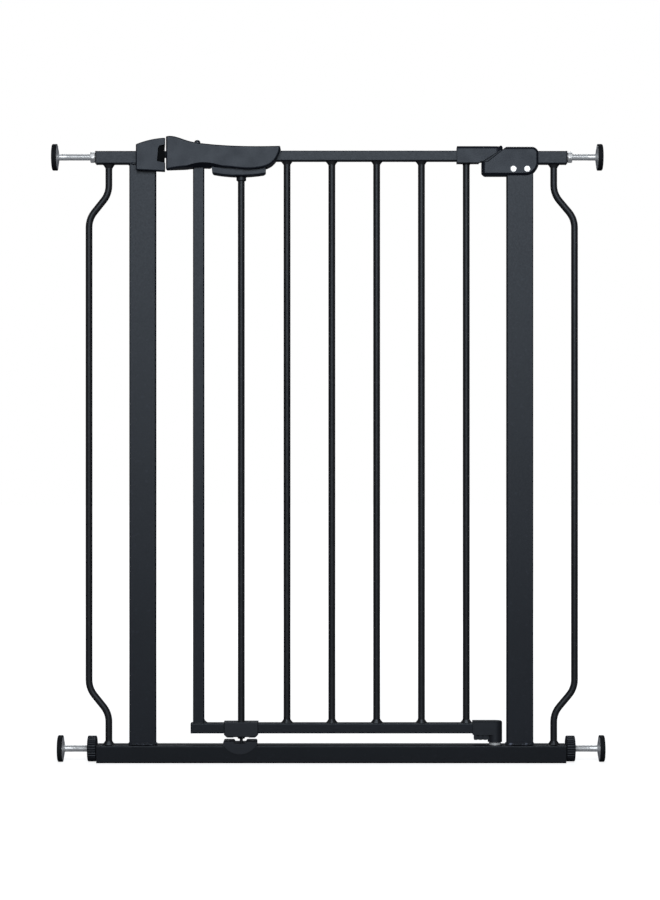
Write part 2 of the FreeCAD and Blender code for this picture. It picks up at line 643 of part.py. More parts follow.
def latch_receiver():
    """Saddle on the bottom rail: two lips, a cross channel and a pocket for the pin."""
    x = RECEIVER_X
    front = RAIL_DEPTH / 2
    outer = front + RECEIVER_FLAP
    saddle = box(x - RECEIVER_HALF, x + RECEIVER_HALF, -outer, outer, RAIL_TOP, RECEIVER_TOP)
    shoulders = [e for e in edges_in(saddle, z=(RECEIVER_TOP,) * 2) if e.BoundBox.YLength > 5]
    saddle = saddle.makeFillet(2.0, shoulders)
    wide = CHANNEL_HALF + CHANNEL_FLARE
    channel = prism_y([(x - wide, RECEIVER_TOP + 1), (x - CHANNEL_HALF, RECEIVER_FLOOR),
                       (x + CHANNEL_HALF, RECEIVER_FLOOR), (x + wide, RECEIVER_TOP + 1)],
                      -outer - 3, outer + 3)
    disc = cyl(RECEIVER_DISC_R, (x, -outer, RECEIVER_DISC_LOW + RECEIVER_DISC_R), Y, 2 * outer)
    disc = disc.common(box(x - RECEIVER_HALF, x + RECEIVER_HALF, -20, 20, 5, RAIL_TOP + 1))
    body = union([saddle.cut(channel), disc])
    body = body.cut(box(x - 40, x + 40, -front, front, -1, RAIL_TOP))
    pocket = cyl(LATCH_PIN_R + 0.9, (LOCK_ROD_X, 0, RAIL_TOP + 0.4), Z, 20)
    for side in (-1, 1):
        rivet_x = x + side * RECEIVER_RIVET_X
        body = body.cut(cyl(1.6, (rivet_x, 0, RAIL_TOP - 1), Z, 12))
        body = body.cut(cyl(3.2, (rivet_x, 0, RECEIVER_TOP - 1.4), Z, 12))
    return body.cut(pocket)


def receiver_rivets():
    rivets = []
    seat = RECEIVER_TOP - 1.4
    for side in (-1, 1):
        x = RECEIVER_X + side * RECEIVER_RIVET_X
        shank = cyl(1.55, (x, 0, RAIL_TOP), Z, seat - RAIL_TOP)
        head = cyl(2.9, (x, 0, seat), Z, 1.2)
        head = head.makeFillet(0.6, edges_in(head, z=(seat + 1.2, seat + 1.2)))
        rivets.append(union([shank, head]))
    return group(rivets)


# ---------------------------------------------------------------- door frame

def door_top_rail():
    z0 = DOOR_TOP_RAIL_Z
    rail = square_tube_x(STILE_LEFT, DOOR_RAIL_RIGHT, DOOR_HALF, z0, z0 + DOOR_TUBE, TUBE_WALL)
    for x, z in SCREWS[1:]:
        rail = rail.cut(cyl(SCREW_R + 0.2, (x, -20, z), Y, 40))
    return rail


def door_bottom_rail():
    z0 = DOOR_LOW_RAIL_Z
    rail = square_tube_x(DOOR_LEFT, LOW_RAIL_RIGHT, DOOR_HALF, z0, DOOR_LOW_RAIL_TOP, TUBE_WALL)
    return rail.cut(cyl(ROD_R + 0.4, (LOCK_ROD_X, 0, 30), Z, 30))


def door_stile():
    return square_tube_z(STILE_X, STILE_HALF_W, DOOR_HALF, DOOR_LOW_RAIL_TOP, DOOR_TOP_RAIL_Z, TUBE_WALL)


def bar_x(i):
    return BAR_FIRST_X + i * BAR_PITCH


def door_bar(i):
    return cyl(BAR_R, (bar_x(i), 0, DOOR_LOW_RAIL_TOP), Z, DOOR_TOP_RAIL_Z - DOOR_LOW_RAIL_TOP)


def door_welds():
    beads = []
    for i in range(BAR_COUNT):
        beads.append(weld_cone(bar_x(i), DOOR_LOW_RAIL_TOP, True, DOOR_HALF, BAR_R))
        if i < BAR_COUNT - 1:
            beads.append(weld_cone(bar_x(i), DOOR_TOP_RAIL_Z, False, DOOR_HALF, BAR_R))
    inner = STILE_X + STILE_HALF_W
    foot = DOOR_LOW_RAIL_TOP
    beads.append(prism_y([(inner, foot), (inner + 4, foot), (inner, foot + 4)], -5.5, 5.5))
    return group(beads)


def door_rail_cap():
    z0 = DOOR_LOW_RAIL_Z
    face = box(DOOR_LEFT - 1.8, DOOR_LEFT, -DOOR_HALF, DOOR_HALF, z0, DOOR_LOW_RAIL_TOP)
    face = face.makeFillet(1.2, edges_in(face, x=(DOOR_LEFT - 1.8,) * 2))
    inner = DOOR_HALF - TUBE_WALL - 0.05
    middle = z0 + DOOR_HALF
    plug = box(DOOR_LEFT, DOOR_LEFT + 10, -inner, inner, middle - inner, middle + inner)
    return union([face, plug])


# ---------------------------------------------------------------- bottom latch

def latch_guide():
    """Plastic block clamped on the door's lower rail; its nose guides the pin."""
    x = LOCK_ROD_X
    low, top = GUIDE_Z
    body = box(x - GUIDE_HALF, x + GUIDE_HALF, -GUIDE_HALF_D, GUIDE_HALF_D, low, top)
    body = body.makeChamfer(3.0, edges_in(body, x=(x - GUIDE_HALF,) * 2, z=(low, low)))
    body = body.makeChamfer(3.0, edges_in(body, x=(x + GUIDE_HALF,) * 2, z=(low, low)))
    rims = edges_in(body, y=(-GUIDE_HALF_D,) * 2) + edges_in(body, y=(GUIDE_HALF_D,) * 2)
    body = body.makeFillet(1.2, rims)
    nose = Part.makeCone(GUIDE_BUSH_R[0], GUIDE_BUSH_R[1], low - GUIDE_BUSH_BOTTOM + 0.5,
                         V(x, 0, GUIDE_BUSH_BOTTOM), Z)
    feet = []
    for side in (-1, 1):
        feet.append(box(x + side * 13.5 - 4, x + side * 13.5 + 4, -7, 7, low - 0.7, low + 1))
    body = union([body, nose] + feet)
    rail = box(x - 40, x + 40, -DOOR_HALF - 0.05, DOOR_HALF + 0.05, DOOR_LOW_RAIL_Z - 0.05,
               DOOR_LOW_RAIL_TOP + 0.05)
    top_bore = cyl(ROD_R + 0.3, (x, 0, DOOR_LOW_RAIL_TOP - 1), Z, 10)
    pin_bore = cyl(LATCH_PIN_R + RUNNING_GAP, (x, 0, GUIDE_BUSH_BOTTOM - 1), Z, 10)
    return body.cut(rail).cut(top_bore).cut(pin_bore)


def lock_rod():
    """Long rod with a thinner pin at its lower end."""
    rod = cyl(ROD_R, (LOCK_ROD_X, 0, LOCK_ROD_SHOULDER), Z, LOCK_ROD_TOP - LOCK_ROD_SHOULDER)
    tip = LATCH_PIN_TIP
    pin = cyl(LATCH_PIN_R, (LOCK_ROD_X, 0, tip), Z, LOCK_ROD_SHOULDER - tip)
    pin = pin.makeChamfer(0.7, edges_in(pin, z=(tip, tip)))
    return union([rod, pin])


def rod_collar():
    low, top = COLLAR_Z
    collar = cyl(COLLAR_R, (LOCK_ROD_X, 0, low), Z, top - low)
    collar = collar.makeChamfer(0.8, edges_in(collar, z=(low, low)))
    return collar.cut(cyl(ROD_R, (LOCK_ROD_X, 0, low - 1), Z, top - low + 2))


# ---------------------------------------------------------------- handle

def handle_side_view(y):
    """The handle's outline at depth y: raised nose, waisted grip, upswept tail and belly."""
    nose_top = V(HANDLE_LEFT, y, 780.2)
    nose_low = V(HANDLE_LEFT, y, 738.2)
    tail_top = V(HANDLE_RIGHT, y, 768.4)
    top = Part.BSplineCurve()
    top.interpolate([nose_top, V(-196.5, y, 780.4), V(-187, y, 777.7), V(-176, y, 774.2),
                     V(-160, y, 771.5), V(-126.6, y, 768.8), V(-94, y, 768.0), tail_top])
    belly = Part.BSplineCurve()
    belly.interpolate([tail_top, V(-66.8, y, 755.6), V(-75.4, y, 745.4), V(-90, y, 740.5),
                       V(-106, y, 739.5), V(-126, y, 741.3), V(-150, y, 742.4), V(-178, y, 742.1),
                       nose_low])
    nose = Part.LineSegment(nose_low, nose_top)
    return Part.Face(Part.Wire([nose.toShape(), top.toShape(), belly.toShape()]))


def finger_scoop():
    """Cutter for the hollow under the front of the grip; its roof falls towards the middle."""
    y = -HOUSING_HALF_D - 1
    floor_z = 728
    start = V(-203.6, y, 738.2)
    end = V(-110, y, 739.2)
    arch = Part.BSplineCurve()
    arch.interpolate([start, V(-194, y, 740.2), V(-185, y, 742.7), V(-175, y, 746.0),
                      V(-161.6, y, 748.4), V(-140, y, 745.6), end])
    floor = Part.makePolygon([end, V(end.x, y, floor_z), V(start.x, y, floor_z), start])
    return Part.Face(Part.Wire([arch.toShape()] + floor.Edges)).extrude(V(0, 11, -7))


def handle_hollow():
    """Space inside the handle for the rail, stile, bolt, cam plate and trigger."""
    w = HANDLE_WALL_Y
    left = HANDLE_INNER_LEFT
    floor = 751.2
    roof = [(left, floor), (left, 777.0), (-196.5, 777.4), (-186, 773.6), (-176.5, 771.2),
            (-160, 768.9), (-126, 766.4), (-94, 765.6), (-68, 765.6), (-69.5, 757.0), (-73.5, floor)]
    main = prism_y(roof, -w, w)
    nose = box(left, -179.5, -13.6, 13.6, 744.4, floor + 1)
    cheek = TRIGGER_HALF_D + 0.8
    mouth = box(TRIGGER_LEFT - 1.5, TRIGGER_RIGHT + 1.5, -cheek, cheek, 725, floor + 1)
    tube = DOOR_HALF + FIT_GAP
    stile_x = STILE_HALF_W + FIT_GAP
    stile = box(STILE_X - stile_x, STILE_X + stile_x, -tube, tube, 730, 755)
    rail = box(STILE_LEFT - FIT_GAP, -50, -tube, tube, DOOR_TOP_RAIL_Z - FIT_GAP,
               DOOR_TOP_RAIL_Z + DOOR_TUBE + FIT_GAP)
    half_w = BOLT_W / 2 + 0.3
    half_h = BOLT_H / 2 + 0.3
    bolt = box(-210, -195, -half_w, half_w, BOLT_Z - half_h, BOLT_Z + half_h)
    button = cyl(BUTTON_R + 0.4, (BUTTON_X, 0, 765), Z, 20)
    return union([main, nose, mouth, stile, rail, bolt, button])


def handle_shell():
    h = HOUSING_HALF_D
    body = handle_side_view(-h).extrude(V(0, 2 * h, 0))
    body = rounded_block(body, h, 1.5, 2.2)
    scoop = finger_scoop()
    body = body.cut(scoop).cut(mirror_y(scoop))
    return body.cut(handle_hollow())


def boss(x, z, y0, y1):
    return cyl(BOSS_R, (x, y0, z), Y, y1 - y0)


def handle_cover(shell, front):
    """One half of the handle, split on the middle plane, with its screw bosses."""
    w = HANDLE_WALL_Y
    rail_face = DOOR_HALF + FIT_GAP
    half = shell.common(box(-300, 0, -30, 0, 700, 800))
    nose_post = boss(*SCREWS[0], -w, 0).common(box(-300, -190, -30, 0, 743.5, 760))
    posts = [nose_post] + [boss(x, z, -w, -rail_face) for x, z in SCREWS[1:]]
    half = union([half] + posts)
    if not front:
        half = mirror_y(half)
    half = half.cut(sloped_underside(HANDLE_LEFT, -178, 738.2, 741.2, 742.1))
    for x, z in SCREWS:
        half = half.cut(cyl(SCREW_R, (x, -w + 1, z), Y, 40))
        if not front:
            half = half.cut(cyl(SCREW_HEAD_R + 0.2, (x, HOUSING_HALF_D - SCREW_SINK, z), Y, 5))
    return half


def handle_screws():
    return group([screw((x, HOUSING_HALF_D - 0.6, z), 29.0) for x, z in SCREWS])


def squeeze_trigger():
    """Pan under the grip with cheeks that straddle the rail; the belly is curved."""
    d = TRIGGER_HALF_D
    wall = TRIGGER_WALL
    left, right, top = TRIGGER_LEFT, TRIGGER_RIGHT, TRIGGER_TOP
    side = left + 0.4
    start = V(left + 3, -d, 734.3)
    end = V(right - 2.6, -d, 733.8)
    belly = Part.Arc(start, V((left + right) / 2 + 3, -d, 731.4), end)
    sides = Part.makePolygon([end, V(right, -d, 736), V(right, -d, top), V(side, -d, top),
                              V(left + 1.2, -d, 735.5), start])
    body = Part.Face(Part.Wire([belly.toShape()] + sides.Edges)).extrude(V(0, 2 * d, 0))
    rims = edges_in(body, y=(-d, -d), z=(731, 734.8)) + edges_in(body, y=(d, d), z=(731, 734.8))
    body = body.makeFillet(1.8, [e for e in rims if e.BoundBox.XLength > 20])
    inside = box(left + 3, right - 3, wall - d, d - wall, LOCK_ROD_TOP, 760)
    tower = box(side, TOWER_RIGHT, -d, wall - d, top - 1, CAM_ARM_TOP)
    tower = tower.fuse(box(side, TOWER_RIGHT, CAM_FACE_Y, -d, CAM_ARM_BOTTOM, CAM_ARM_TOP))
    rod_hole = cyl(ROD_R, (LOCK_ROD_X, 0, 725), Z, 20)
    gate = 7.4
    ends = box(left - 1, left + 5, -gate, gate, LOCK_ROD_TOP, 760)
    ends = ends.fuse(box(right - 5, right + 1, -gate, gate, LOCK_ROD_TOP, 760))
    return union([body.cut(inside).cut(ends), tower]).cut(rod_hole)


def cam_plate():
    """Flat plate that rises with the trigger; its 45 degree slot draws the bolt back."""
    y0, y1 = CAM_FACE_Y - CAM_PLATE_T, CAM_FACE_Y
    low, high = CAM_ARM_BOTTOM, CAM_ARM_TOP
    left = CAM_PIN_X - 4
    hook_low = low - 7.3
    plate = prism_y([(left, high - 2.9), (left, high + 4), (-183.5, high + 4), (-176, high),
                     (TOWER_RIGHT, high), (TOWER_RIGHT, low), (-180, low), (-180, hook_low),
                     (-187, hook_low)], y0, y1)
    half = CAM_PIN_R + 0.3
    end_x = CAM_PIN_X + RELEASE_LIFT
    end_z = CAM_PIN_Z - RELEASE_LIFT
    slot = cyl(half, (CAM_PIN_X, y0 - 1, CAM_PIN_Z), Y, 5).fuse(cyl(half, (end_x, y0 - 1, end_z), Y, 5))
    s = half / math.sqrt(2)
    slot = slot.fuse(prism_y([(CAM_PIN_X - s, CAM_PIN_Z - s), (CAM_PIN_X + s, CAM_PIN_Z + s),
                              (end_x + s, end_z + s), (end_x - s, end_z - s)], y0 - 1, y0 + 4))
    return plate.cut(slot)


def latch_bolt():
    """Sliding bolt: bevelled nose, blind bore for its spring, cross hole for the cam pin."""
    w = BOLT_W / 2
    low, top = BOLT_Z - BOLT_H / 2, BOLT_Z + BOLT_H / 2
    shoulder = BOLT_TIP + BOLT_BEVEL
    loop = [V(BOLT_TIP, BOLT_BEVEL - w, low), V(BOLT_TIP, w - BOLT_BEVEL, low), V(shoulder, w, low),
            V(BOLT_TAIL, w, low), V(BOLT_TAIL, -w, low), V(shoulder, -w, low)]
    body = Part.Face(Part.makePolygon(loop + [loop[0]])).extrude(V(0, 0, top - low))
    bore = cyl(SPRING_BORE_R, (BOLT_TAIL - SPRING_BORE_DEPTH, SPRING_Y, BOLT_Z), X, 20)
    pin_hole = cyl(CAM_PIN_R, (CAM_PIN_X, -w - 1, CAM_PIN_Z), Y, 4)
    return body.cut(bore).cut(pin_hole)


def cam_pin():
    reach = 3 - BOLT_W / 2
    return cyl(CAM_PIN_R, (CAM_PIN_X, CAM_PIN_FRONT, CAM_PIN_Z), Y, reach - CAM_PIN_FRONT)


def bolt_spring():
    start = BOLT_TAIL - SPRING_BORE_DEPTH + 0.1
    end = STILE_LEFT - 0.1
    return spring(2.2, 0.3, 7, end - start, (start, SPRING_Y, BOLT_Z), "x")


def release_spring():
    start = LOCK_ROD_TOP + 0.1
    return spring(3.2, 0.4, 5, DOOR_TOP_RAIL_Z - 0.1 - start, (-96.0, 0, start), "z")


def thumb_button():
    """Domed button on top of the grip, held in by a flange."""
    low = BUTTON_FLANGE_Z
    stem = cyl(BUTTON_R, (BUTTON_X, 0, low + 0.6), Z, BUTTON_TOP - low - 0.6)
    stem = stem.makeFillet(3.4, edges_in(stem, z=(BUTTON_TOP, BUTTON_TOP)))
    flange = cyl(5.2, (BUTTON_X, 0, low), Z, 1.4)
    well = cyl(3.0, (BUTTON_X, 0, low - 1), Z, BUTTON_WELL_TOP + 0.1 - low + 1)
    return union([stem, flange]).cut(well)


def button_spring():
    floor = DOOR_TOP_RAIL_Z + DOOR_TUBE
    return spring(2.3, 0.3, 3, BUTTON_WELL_TOP - floor, (BUTTON_X, 0, floor + RUNNING_GAP), "z")


# ---------------------------------------------------------------- build

def build_nodes():
    shell = handle_shell()
    nodes = {
        "bottom_rail": bottom_rail(),
        "left_upright": upright(-1),
        "right_upright": upright(1),
        "left_top_arm": top_arm(-1, LEFT_ARM_INNER),
        "right_top_arm": top_arm(1, RIGHT_ARM_INNER),
        "left_side_rod": side_rod(-1),
        "right_side_rod": side_rod(1),
        "frame_weld_beads": frame_welds(),
        "arm_end_caps": group([arm_end_cap(-1), arm_end_cap(1)]),
        "rail_end_guides": group([rail_end_guide(-1), rail_end_guide(1)]),
        "catch_housing": catch_housing(),
        "strike_insert": strike_insert(),
        "catch_screws": catch_screws(),
        "hinge_bracket": hinge_bracket(),
        "hinge_rivets": hinge_rivets(),
        "upper_hinge_pin": upper_hinge_pin(),
        "lower_pivot_pin": lower_pivot_pin(),
        "latch_receiver": latch_receiver(),
        "receiver_rivets": receiver_rivets(),
        "door_top_rail": door_top_rail(),
        "door_bottom_rail": door_bottom_rail(),
        "door_stile": door_stile(),
        "door_weld_beads": door_welds(),
        "door_rail_cap": door_rail_cap(),
        "upper_hinge_arm": upper_hinge_arm(),
        "lower_hinge_block": lower_hinge_block(),
        "latch_guide": latch_guide(),
        "handle_front_cover": handle_cover(shell, True),
        "handle_back_cover": handle_cover(shell, False),
        "handle_screws": handle_screws(),
        "squeeze_trigger": squeeze_trigger(),
        "cam_plate": cam_plate(),
        "rod_collar": rod_collar(),
        "lock_rod": lock_rod(),
        "release_spring": release_spring(),
        "latch_bolt": latch_bolt(),
        "cam_pin": cam_pin(),
        "bolt_spring": bolt_spring(),
        "thumb_button": thumb_button(),
        "button_spring": button_spring(),
        "left_nut": mirror_x(hex_nut()),
        "right_nut": hex_nut(),
        "left_hand_wheel": mirror_x(hand_wheel()),
        "right_hand_wheel": hand_wheel(),
    }
    for i in range(BAR_COUNT):
        nodes["door_bar_%d" % (i + 1)] = door_bar(i)
    for place, face in PAD_FACE.items():
        upper = place.endswith("upper")
        z = UPPER_AXIS_Z if upper else LOWER_AXIS_Z
        rod = spindle(face, z, UPPER_SPINDLE_LEN if upper else LOWER_SPINDLE_LEN)
        cup = pad(face, z)
        if place.startswith("left"):
            rod = mirror_x(rod)
            cup = mirror_x(cup)
        nodes[place + "_spindle"] = rod
        nodes[place + "_pad"] = cup
    return nodes


for name, shape in build_nodes().items():
    shape.exportStep("parts/%s.step" % name)
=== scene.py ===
import math

import bmesh
import bpy
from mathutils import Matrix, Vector, noise


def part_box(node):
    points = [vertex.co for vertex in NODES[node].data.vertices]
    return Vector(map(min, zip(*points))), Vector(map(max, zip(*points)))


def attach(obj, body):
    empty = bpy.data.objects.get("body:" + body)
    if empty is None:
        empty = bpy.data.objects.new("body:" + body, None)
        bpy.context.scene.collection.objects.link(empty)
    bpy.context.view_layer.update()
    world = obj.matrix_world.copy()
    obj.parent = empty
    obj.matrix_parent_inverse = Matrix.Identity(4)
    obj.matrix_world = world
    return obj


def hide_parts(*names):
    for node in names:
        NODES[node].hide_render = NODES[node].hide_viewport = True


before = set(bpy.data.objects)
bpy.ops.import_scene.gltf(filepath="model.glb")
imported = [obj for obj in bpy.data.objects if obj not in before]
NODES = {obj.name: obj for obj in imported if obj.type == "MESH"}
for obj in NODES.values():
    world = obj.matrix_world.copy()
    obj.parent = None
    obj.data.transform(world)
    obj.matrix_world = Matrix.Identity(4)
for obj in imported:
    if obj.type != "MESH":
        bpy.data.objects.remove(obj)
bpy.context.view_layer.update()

# Everything is in metres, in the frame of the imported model: X across the doorway, -Y towards
# the viewer, Z up. MM lets a small detail be written in millimetres.
MM = 0.001
TAU = math.tau

# Camera: square on to the gate, at the height of its middle.
CAMERA_DISTANCE = 3.0
CAMERA_HEIGHT = 0.390
CAMERA_X = -0.0016
CAMERA_LENS = 96.0
CAMERA_SENSOR = 36.0

# Threaded spindles: plain shank behind the plate, then a rolled M8 thread.
SPINDLE_R = 3.95 * MM
THREAD_PITCH = 1.25 * MM
THREAD_DEPTH = 0.20 * MM
THREAD_STEPS = 6
PLATE_R = 15.0 * MM
PLATE_T = 1.5 * MM
PLATE_DOME = 1.7 * MM
NECK_FILLET = 1.3 * MM
SHANK_LENGTH = 9.0 * MM
END_CHAMFER = 1.0 * MM

# Rubber pads.
PAD_RIB_PITCH = 2.9 * MM
PAD_RIB_DEPTH = 0.7 * MM
PAD_FIRST_RIB_R = 2.2 * MM
PAD_PARTING_LINE = 0.18 * MM

# Hand wheels and nuts.
WHEEL_FLUTES = 28
WHEEL_FLUTE_DEPTH = 0.8 * MM
WHEEL_BORE_R = 4.3 * MM
NUT_ACROSS_FLATS = 13.0 * MM
NUT_BORE_R = 4.05 * MM
NUT_TILT = math.radians(15.0)

# Weld metal where rods, bars and posts meet the rails. The beads on the bottom rail are laid
# a little above its top wall, so that none reaches the spindles inside it.
ROD_R = 4.25 * MM
BAR_R = 4.3 * MM
COLLAR_HALF_X = 7.6 * MM
COLLAR_HALF_Y = 5.6 * MM
BAR_COLLAR_HEIGHT = 4.8 * MM
ROD_COLLAR_HEIGHT = 5.2 * MM
BEAD_R = 1.7 * MM
BEAD_LIFT = 1.1 * MM
BEAD_RIPPLE = 2.3 * MM
CORNER_BEAD_R = 1.1 * MM
CORNER_BEAD_DOWN = 1.0 * MM
CORNER_BEAD_UP = 4.0 * MM
CORNER_BEAD_IN = 6.0 * MM
STILE_BEAD_R = 0.7 * MM
FILLET_LEG = 4.6 * MM
FILLET_HOLLOW = 1.4
FRAME_SEED = 1.0
FRAME_SEED_STEP = 1.7
DOOR_SEED = 40.0
DOOR_SEED_STEP = 1.3

# Studio: a wide floor, and how strongly it glows far away and at the gate.
FLOOR_RADIUS = 14.0
GLOW_FAR = 1.0
GLOW_NEAR = 0.80
GLOW_REACH = 0.45


# ---------------------------------------------------------------- mesh building

def finish_mesh(name, mesh, body, material, stands_for=()):
    """Turns a bmesh into a piece that rides on a body and shows instead of CAD nodes."""
    bmesh.ops.remove_doubles(mesh, verts=mesh.verts, dist=1e-7)
    bmesh.ops.recalc_face_normals(mesh, faces=mesh.faces)
    data = bpy.data.meshes.new(name)
    mesh.to_mesh(data)
    mesh.free()
    piece = bpy.data.objects.new(name, data)
    bpy.context.scene.collection.objects.link(piece)
    data.materials.append(material)
    for face in data.polygons:
        face.use_smooth = True
    data.set_sharp_from_angle(angle=math.radians(38))
    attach(piece, body)
    if stands_for:
        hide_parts(*stands_for)
    return piece


def turn(mesh, profile, segments, place, shape=None, bored=False):
    """Adds a solid turned about X. profile is a list of (along, radius): from pole to pole, or
    a closed loop of rings where bored. shape(along, angle, radius) may change each radius, and
    place(along, y, z) gives the point's place in the frame."""
    ends = [] if bored else [profile[0], profile[-1]]
    rings = profile if bored else profile[1:-1]
    made = []
    for along, radius in rings:
        ring = []
        for k in range(segments):
            angle = TAU * k / segments
            r = shape(along, angle, radius) if shape else radius
            point = place(along, r * math.cos(angle), r * math.sin(angle))
            ring.append(mesh.verts.new(point))
        made.append(ring)
    pairs = list(zip(made, made[1:]))
    if bored:
        pairs.append((made[-1], made[0]))
    for a, b in pairs:
        for k in range(segments):
            n = (k + 1) % segments
            mesh.faces.new((a[k], a[n], b[n], b[k]))
    for (along, _), ring in zip(ends, (made[0], made[-1])):
        pole = mesh.verts.new(place(along, 0.0, 0.0))
        for k in range(segments):
            mesh.faces.new((ring[k], ring[(k + 1) % segments], pole))


def arc(cx, cy, r, start, stop, steps):
    """Points (along, radius) on a circle's arc, in degrees."""
    out = []
    for i in range(steps + 1):
        a = math.radians(start + (stop - start) * i / steps)
        out.append((cx + r * math.cos(a), cy + r * math.sin(a)))
    return out


def on_axis(origin, side, axis_z):
    """A place() for turned parts: along runs inwards from origin on the given side."""
    def place(along, y, z):
        return (side * (origin - along), y, axis_z + z)
    return place


# ---------------------------------------------------------------- materials

class Shader:
    """A procedural material on one Principled BSDF, in the object's own coordinates."""

    def __init__(self, name, metallic, specular=0.5, tint=(0.82, 0.90, 1.0)):
        self.material = bpy.data.materials.new(name)
        self.material.use_nodes = True
        self.nodes = self.material.node_tree.nodes
        self.links = self.material.node_tree.links
        self.bsdf = self.nodes["Principled BSDF"]
        self.bsdf.inputs["Metallic"].default_value = metallic
        self.bsdf.inputs["Specular IOR Level"].default_value = specular
        self.bsdf.inputs["Specular Tint"].default_value = (*tint, 1.0)
        self.coordinates = self.nodes.new("ShaderNodeTexCoord")
        self.normal = None

    def stretched(self, scale):
        """Object coordinates, stretched along an axis."""
        mapping = self.nodes.new("ShaderNodeMapping")
        mapping.inputs["Scale"].default_value = scale
        self.links.new(self.coordinates.outputs["Object"], mapping.inputs["Vector"])
        return mapping.outputs["Vector"]

    def noise(self, scale, detail=3.0, stretch=None):
        """A noise value from 0 to 1. scale is in cells per metre."""
        node = self.nodes.new("ShaderNodeTexNoise")
        node.inputs["Scale"].default_value = scale
        node.inputs["Detail"].default_value = detail
        vector = self.stretched(stretch) if stretch else self.coordinates.outputs["Object"]
        self.links.new(vector, node.inputs["Vector"])
        return node.outputs["Fac"]

    def cells(self, scale):
        """Distance to the nearest cell centre: a pebbled grain."""
        node = self.nodes.new("ShaderNodeTexVoronoi")
        node.inputs["Scale"].default_value = scale
        self.links.new(self.coordinates.outputs["Object"], node.inputs["Vector"])
        return node.outputs["Distance"]

    def ramp(self, value, stops):
        """Maps a value to colours. stops is a list of (position, colour)."""
        node = self.nodes.new("ShaderNodeValToRGB")
        while len(node.color_ramp.elements) < len(stops):
            node.color_ramp.elements.new(0.5)
        for element, (position, colour) in zip(node.color_ramp.elements, stops):
            element.position = position
            element.color = (*colour, 1.0)
        self.links.new(value, node.inputs["Fac"])
        return node.outputs["Color"]

    def spread(self, value, low, high, start=0.3, stop=0.7):
        """Maps start..stop of a value to low..high."""
        node = self.nodes.new("ShaderNodeMapRange")
        node.inputs["From Min"].default_value = start
        node.inputs["From Max"].default_value = stop
        node.inputs["To Min"].default_value = low
        node.inputs["To Max"].default_value = high
        self.links.new(value, node.inputs["Value"])
        return node.outputs["Result"]

    def blend(self, factor, a, b):
        """Mixes two colours by a value. A plain tuple is a constant colour."""
        node = self.nodes.new("ShaderNodeMix")
        node.data_type = "RGBA"
        self.links.new(factor, node.inputs["Factor"])
        # The node's colour sockets are inputs 6 and 7 and output 2.
        for index, colour in ((6, a), (7, b)):
            if isinstance(colour, tuple):
                node.inputs[index].default_value = (*colour, 1.0)
            else:
                self.links.new(colour, node.inputs[index])
        return node.outputs[2]

    def bump(self, height, strength, depth):
        """Adds one layer of relief; depth is in metres."""
        node = self.nodes.new("ShaderNodeBump")
        node.inputs["Strength"].default_value = strength
        node.inputs["Distance"].default_value = depth
        self.links.new(height, node.inputs["Height"])
        if self.normal:
            self.links.new(self.normal, node.inputs["Normal"])
        self.normal = node.outputs["Normal"]

    def done(self, colour, roughness):
        """Connects colour, roughness and relief, and gives the material."""
        self.links.new(colour, self.bsdf.inputs["Base Color"])
        self.links.new(roughness, self.bsdf.inputs["Roughness"])
        if self.normal:
            self.links.new(self.normal, self.bsdf.inputs["Normal"])
        return self.material


def shade(colour, factor):
    """A darker or paler shade of a colour."""
    return tuple(c * factor for c in colour)


def powder_coat(name="powder_coat_satin", tone=(0.0105, 0.0120, 0.0170), scuffs=0.60,
                rub=1.9, specular=0.50):
    """Satin black powder coat: slow mottling, orange peel, and a few pale rub marks."""
    s = Shader(name, metallic=0.0, specular=specular)
    cloud = s.noise(9.0, 4.0)
    fleck = s.noise(420.0, 2.0)
    base = s.ramp(cloud, [(0.30, shade(tone, 0.86)), (0.55, tone), (0.75, shade(tone, 1.16))])
    worn = s.spread(s.noise(150.0, 5.0), 0.0, 1.0, scuffs, scuffs + 0.16)
    colour = s.blend(worn, base, shade(tone, rub))
    s.bump(s.noise(230.0, 2.0), 0.12, 0.00006)
    s.bump(s.noise(1900.0, 1.0), 0.22, 0.00003)
    return s.done(colour, s.spread(fleck, 0.35, 0.44))


def moulded(name, tone, rough, grain, specular):
    """Moulded plastic: spark-eroded grain, faint flow marks and handling polish."""
    s = Shader(name, metallic=0.0, specular=specular)
    flow = s.noise(26.0, 3.0, stretch=(0.35, 1.0, 1.0))
    speck = s.noise(900.0, 2.0)
    base = s.ramp(flow, [(0.28, shade(tone, 0.88)), (0.55, tone), (0.78, shade(tone, 1.12))])
    colour = s.blend(s.spread(speck, 0.0, 0.5, 0.62, 0.80), base, shade(tone, 1.5))
    s.bump(s.cells(grain), 0.30, 0.00005)
    s.bump(s.noise(grain * 1.7, 2.0), 0.25, 0.00004)
    polish = s.noise(55.0, 4.0)
    return s.done(colour, s.spread(polish, rough[0], rough[1]))


def rubber_material():
    """Soft rubber: dull, finely pitted, with a pale dusty bloom."""
    tone = (0.012, 0.0125, 0.0145)
    s = Shader("rubber_soft", metallic=0.0, specular=0.25)
    base = s.ramp(s.noise(60.0, 4.0), [(0.3, shade(tone, 0.8)), (0.75, shade(tone, 1.25))])
    bloom = s.spread(s.noise(310.0, 5.0), 0.0, 0.6, 0.56, 0.78)
    colour = s.blend(bloom, base, shade(tone, 2.2))
    s.bump(s.noise(1300.0, 3.0), 0.4, 0.00008)
    return s.done(colour, s.spread(s.noise(240.0, 2.0), 0.62, 0.80))


